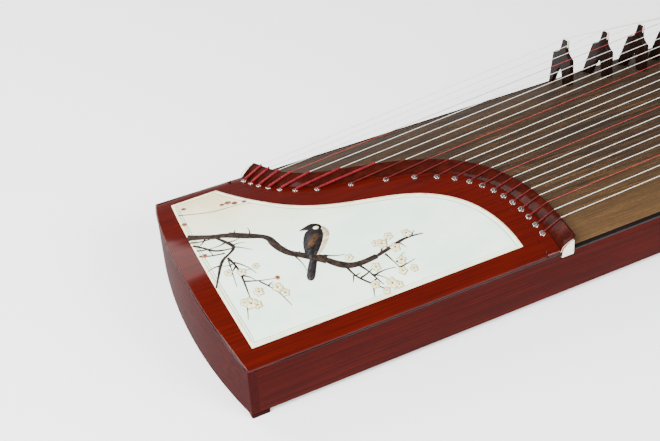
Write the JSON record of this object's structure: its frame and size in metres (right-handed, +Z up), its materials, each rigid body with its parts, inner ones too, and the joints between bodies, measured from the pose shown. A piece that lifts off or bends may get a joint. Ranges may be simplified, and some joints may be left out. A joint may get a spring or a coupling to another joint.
{
  "type": "guzheng",
  "caption": "Long plucked zither with an arched soundboard, movable A-shaped bridges, an S-shaped front nut, tuning pins under a lift-off lid and a painted head panel.",
  "frame": {"origin": "on the ground under the middle of the instrument", "axes": "+X along the strings from head to tail, +Y to the player, +Z up"},
  "size_m": [1.63, 0.3459, 0.2088],
  "materials": {
    "burnt_paulownia": "satin, scorched and brushed",
    "back_wood": "satin",
    "red_lacquer": "high gloss lacquer",
    "dark_lacquer": "high gloss lacquer",
    "bone": "polished",
    "nickel": "polished",
    "hard_maple": "plain",
    "plain_wood": "plain",
    "black_rubber": "matt",
    "string_winding": "wound",
    "painted_panel": "gloss over a painted ground",
    "rosewood": "oiled",
    "pin_steel": "plain"
  },
  "bodies": {
    "body": {"soundboard": "burnt_paulownia", "back_board": "back_wood", "side_panel_front": "red_lacquer", "side_panel_rear": "red_lacquer", "head_panel": "red_lacquer", "tail_panel": "red_lacquer", "string_plate": "red_lacquer", "tail_plate": "red_lacquer", "front_nut": "dark_lacquer", "nut_plates": "bone", "rear_nut": "dark_lacquer", "eyelets": "nickel", "pin_block": "hard_maple", "inner_frame": "plain_wood", "feet": "black_rubber", "strings": "string_winding"},
    "lid": {"lid": "red_lacquer", "picture_panel": "painted_panel"},
    "bridge_01": {"bridge_01": "rosewood"},
    "bridge_02": {"bridge_02": "rosewood"},
    "bridge_03": {"bridge_03": "rosewood"},
    "bridge_04": {"bridge_04": "rosewood"},
    "bridge_05": {"bridge_05": "rosewood"},
    "bridge_06": {"bridge_06": "rosewood"},
    "bridge_07": {"bridge_07": "rosewood"},
    "bridge_08": {"bridge_08": "rosewood"},
    "bridge_09": {"bridge_09": "rosewood"},
    "bridge_10": {"bridge_10": "rosewood"},
    "bridge_11": {"bridge_11": "rosewood"},
    "bridge_12": {"bridge_12": "rosewood"},
    "bridge_13": {"bridge_13": "rosewood"},
    "bridge_14": {"bridge_14": "rosewood"},
    "bridge_15": {"bridge_15": "rosewood"},
    "bridge_16": {"bridge_16": "rosewood"},
    "bridge_17": {"bridge_17": "rosewood"},
    "bridge_18": {"bridge_18": "rosewood"},
    "bridge_19": {"bridge_19": "rosewood"},
    "bridge_20": {"bridge_20": "rosewood"},
    "bridge_21": {"bridge_21": "rosewood"},
    "tuning_pin_01": {"tuning_pin_01": "pin_steel"},
    "tuning_pin_02": {"tuning_pin_02": "pin_steel"},
    "tuning_pin_03": {"tuning_pin_03": "pin_steel"},
    "tuning_pin_04": {"tuning_pin_04": "pin_steel"},
    "tuning_pin_05": {"tuning_pin_05": "pin_steel"},
    "tuning_pin_06": {"tuning_pin_06": "pin_steel"},
    "tuning_pin_07": {"tuning_pin_07": "pin_steel"},
    "tuning_pin_08": {"tuning_pin_08": "pin_steel"},
    "tuning_pin_09": {"tuning_pin_09": "pin_steel"},
    "tuning_pin_10": {"tuning_pin_10": "pin_steel"},
    "tuning_pin_11": {"tuning_pin_11": "pin_steel"},
    "tuning_pin_12": {"tuning_pin_12": "pin_steel"},
    "tuning_pin_13": {"tuning_pin_13": "pin_steel"},
    "tuning_pin_14": {"tuning_pin_14": "pin_steel"},
    "tuning_pin_15": {"tuning_pin_15": "pin_steel"},
    "tuning_pin_16": {"tuning_pin_16": "pin_steel"},
    "tuning_pin_17": {"tuning_pin_17": "pin_steel"},
    "tuning_pin_18": {"tuning_pin_18": "pin_steel"},
    "tuning_pin_19": {"tuning_pin_19": "pin_steel"},
    "tuning_pin_20": {"tuning_pin_20": "pin_steel"},
    "tuning_pin_21": {"tuning_pin_21": "pin_steel"}
  },
  "joints": [
    {"name": "lid_lift", "type": "slide", "parent": "body", "child": "lid", "axis": [0, 0, 1], "range_m": [0, 0.12]},
    {"name": "bridge_01_slide", "type": "slide", "parent": "body", "child": "bridge_01", "axis": [1, 0, 0], "range_m": [-0.01, 0.01], "deforming": ["strings"]},
    {"name": "bridge_02_slide", "type": "slide", "parent": "body", "child": "bridge_02", "axis": [1, 0, 0], "range_m": [-0.01, 0.01], "deforming": ["strings"]},
    {"name": "bridge_03_slide", "type": "slide", "parent": "body", "child": "bridge_03", "axis": [1, 0, 0], "range_m": [-0.01, 0.01], "deforming": ["strings"]},
    {"name": "bridge_04_slide", "type": "slide", "parent": "body", "child": "bridge_04", "axis": [1, 0, 0], "range_m": [-0.01, 0.01], "deforming": ["strings"]},
    {"name": "bridge_05_slide", "type": "slide", "parent": "body", "child": "bridge_05", "axis": [1, 0, 0], "range_m": [-0.01, 0.01], "deforming": ["strings"]},
    {"name": "bridge_06_slide", "type": "slide", "parent": "body", "child": "bridge_06", "axis": [1, 0, 0], "range_m": [-0.01, 0.01], "deforming": ["strings"]},
    {"name": "bridge_07_slide", "type": "slide", "parent": "body", "child": "bridge_07", "axis": [1, 0, 0], "range_m": [-0.0092, 0.0092], "deforming": ["strings"]},
    {"name": "bridge_08_slide", "type": "slide", "parent": "body", "child": "bridge_08", "axis": [1, 0, 0], "range_m": [-0.008, 0.008], "deforming": ["strings"]},
    {"name": "bridge_09_slide", "type": "slide", "parent": "body", "child": "bridge_09", "axis": [1, 0, 0], "range_m": [-0.0071, 0.0071], "deforming": ["strings"]},
    {"name": "bridge_10_slide", "type": "slide", "parent": "body", "child": "bridge_10", "axis": [1, 0, 0], "range_m": [-0.0063, 0.0063], "deforming": ["strings"]},
    {"name": "bridge_11_slide", "type": "slide", "parent": "body", "child": "bridge_11", "axis": [1, 0, 0], "range_m": [-0.0057, 0.0057], "deforming": ["strings"]},
    {"name": "bridge_12_slide", "type": "slide", "parent": "body", "child": "bridge_12", "axis": [1, 0, 0], "range_m": [-0.0051, 0.0051], "deforming": ["strings"]},
    {"name": "bridge_13_slide", "type": "slide", "parent": "body", "child": "bridge_13", "axis": [1, 0, 0], "range_m": [-0.0047, 0.0047], "deforming": ["strings"]},
    {"name": "bridge_14_slide", "type": "slide", "parent": "body", "child": "bridge_14", "axis": [1, 0, 0], "range_m": [-0.0044, 0.0044], "deforming": ["strings"]},
    {"name": "bridge_15_slide", "type": "slide", "parent": "body", "child": "bridge_15", "axis": [1, 0, 0], "range_m": [-0.0041, 0.0041], "deforming": ["strings"]},
    {"name": "bridge_16_slide", "type": "slide", "parent": "body", "child": "bridge_16", "axis": [1, 0, 0], "range_m": [-0.0038, 0.0038], "deforming": ["strings"]},
    {"name": "bridge_17_slide", "type": "slide", "parent": "body", "child": "bridge_17", "axis": [1, 0, 0], "range_m": [-0.0036, 0.0036], "deforming": ["strings"]},
    {"name": "bridge_18_slide", "type": "slide", "parent": "body", "child": "bridge_18", "axis": [1, 0, 0], "range_m": [-0.0035, 0.0035], "deforming": ["strings"]},
    {"name": "bridge_19_slide", "type": "slide", "parent": "body", "child": "bridge_19", "axis": [1, 0, 0], "range_m": [-0.0033, 0.0033], "deforming": ["strings"]},
    {"name": "bridge_20_slide", "type": "slide", "parent": "body", "child": "bridge_20", "axis": [1, 0, 0], "range_m": [-0.0032, 0.0032], "deforming": ["strings"]},
    {"name": "bridge_21_slide", "type": "slide", "parent": "body", "child": "bridge_21", "axis": [1, 0, 0], "range_m": [-0.0032, 0.0032], "deforming": ["strings"]},
    {"name": "tuning_pin_01_turn", "type": "hinge", "parent": "body", "child": "tuning_pin_01", "pos_m": [-0.75, 0.1496, 0.058], "axis": [0, 0, 1], "range_deg": [-180, 180]},
    {"name": "tuning_pin_02_turn", "type": "hinge", "parent": "body", "child": "tuning_pin_02", "pos_m": [-0.728, 0.13486, 0.058], "axis": [0, 0, 1], "range_deg": [-180, 180]},
    {"name": "tuning_pin_03_turn", "type": "hinge", "parent": "body", "child": "tuning_pin_03", "pos_m": [-0.706, 0.12012, 0.058], "axis": [0, 0, 1], "range_deg": [-180, 180]},
    {"name": "tuning_pin_04_turn", "type": "hinge", "parent": "body", "child": "tuning_pin_04", "pos_m": [-0.75, 0.10538, 0.058], "axis": [0, 0, 1], "range_deg": [-180, 180]},
    {"name": "tuning_pin_05_turn", "type": "hinge", "parent": "body", "child": "tuning_pin_05", "pos_m": [-0.728, 0.09064, 0.058], "axis": [0, 0, 1], "range_deg": [-180, 180]},
    {"name": "tuning_pin_06_turn", "type": "hinge", "parent": "body", "child": "tuning_pin_06", "pos_m": [-0.706, 0.0759, 0.058], "axis": [0, 0, 1], "range_deg": [-180, 180]},
    {"name": "tuning_pin_07_turn", "type": "hinge", "parent": "body", "child": "tuning_pin_07", "pos_m": [-0.75, 0.06116, 0.058], "axis": [0, 0, 1], "range_deg": [-180, 180]},
    {"name": "tuning_pin_08_turn", "type": "hinge", "parent": "body", "child": "tuning_pin_08", "pos_m": [-0.728, 0.04642, 0.058], "axis": [0, 0, 1], "range_deg": [-180, 180]},
    {"name": "tuning_pin_09_turn", "type": "hinge", "parent": "body", "child": "tuning_pin_09", "pos_m": [-0.706, 0.03168, 0.058], "axis": [0, 0, 1], "range_deg": [-180, 180]},
    {"name": "tuning_pin_10_turn", "type": "hinge", "parent": "body", "child": "tuning_pin_10", "pos_m": [-0.75, 0.01694, 0.058], "axis": [0, 0, 1], "range_deg": [-180, 180]},
    {"name": "tuning_pin_11_turn", "type": "hinge", "parent": "body", "child": "tuning_pin_11", "pos_m": [-0.728, 0.0022, 0.058], "axis": [0, 0, 1], "range_deg": [-180, 180]},
    {"name": "tuning_pin_12_turn", "type": "hinge", "parent": "body", "child": "tuning_pin_12", "pos_m": [-0.706, -0.01254, 0.058], "axis": [0, 0, 1], "range_deg": [-180, 180]},
    {"name": "tuning_pin_13_turn", "type": "hinge", "parent": "body", "child": "tuning_pin_13", "pos_m": [-0.75, -0.02728, 0.058], "axis": [0, 0, 1], "range_deg": [-180, 180]},
    {"name": "tuning_pin_14_turn", "type": "hinge", "parent": "body", "child": "tuning_pin_14", "pos_m": [-0.728, -0.04202, 0.058], "axis": [0, 0, 1], "range_deg": [-180, 180]},
    {"name": "tuning_pin_15_turn", "type": "hinge", "parent": "body", "child": "tuning_pin_15", "pos_m": [-0.706, -0.05676, 0.058], "axis": [0, 0, 1], "range_deg": [-180, 180]},
    {"name": "tuning_pin_16_turn", "type": "hinge", "parent": "body", "child": "tuning_pin_16", "pos_m": [-0.75, -0.0715, 0.058], "axis": [0, 0, 1], "range_deg": [-180, 180]},
    {"name": "tuning_pin_17_turn", "type": "hinge", "parent": "body", "child": "tuning_pin_17", "pos_m": [-0.728, -0.08624, 0.058], "axis": [0, 0, 1], "range_deg": [-180, 180]},
    {"name": "tuning_pin_18_turn", "type": "hinge", "parent": "body", "child": "tuning_pin_18", "pos_m": [-0.706, -0.10098, 0.058], "axis": [0, 0, 1], "range_deg": [-180, 180]},
    {"name": "tuning_pin_19_turn", "type": "hinge", "parent": "body", "child": "tuning_pin_19", "pos_m": [-0.75, -0.11572, 0.058], "axis": [0, 0, 1], "range_deg": [-180, 180]},
    {"name": "tuning_pin_20_turn", "type": "hinge", "parent": "body", "child": "tuning_pin_20", "pos_m": [-0.728, -0.13046, 0.058], "axis": [0, 0, 1], "range_deg": [-180, 180]},
    {"name": "tuning_pin_21_turn", "type": "hinge", "parent": "body", "child": "tuning_pin_21", "pos_m": [-0.706, -0.1452, 0.058], "axis": [0, 0, 1], "range_deg": [-180, 180]}
  ]
}
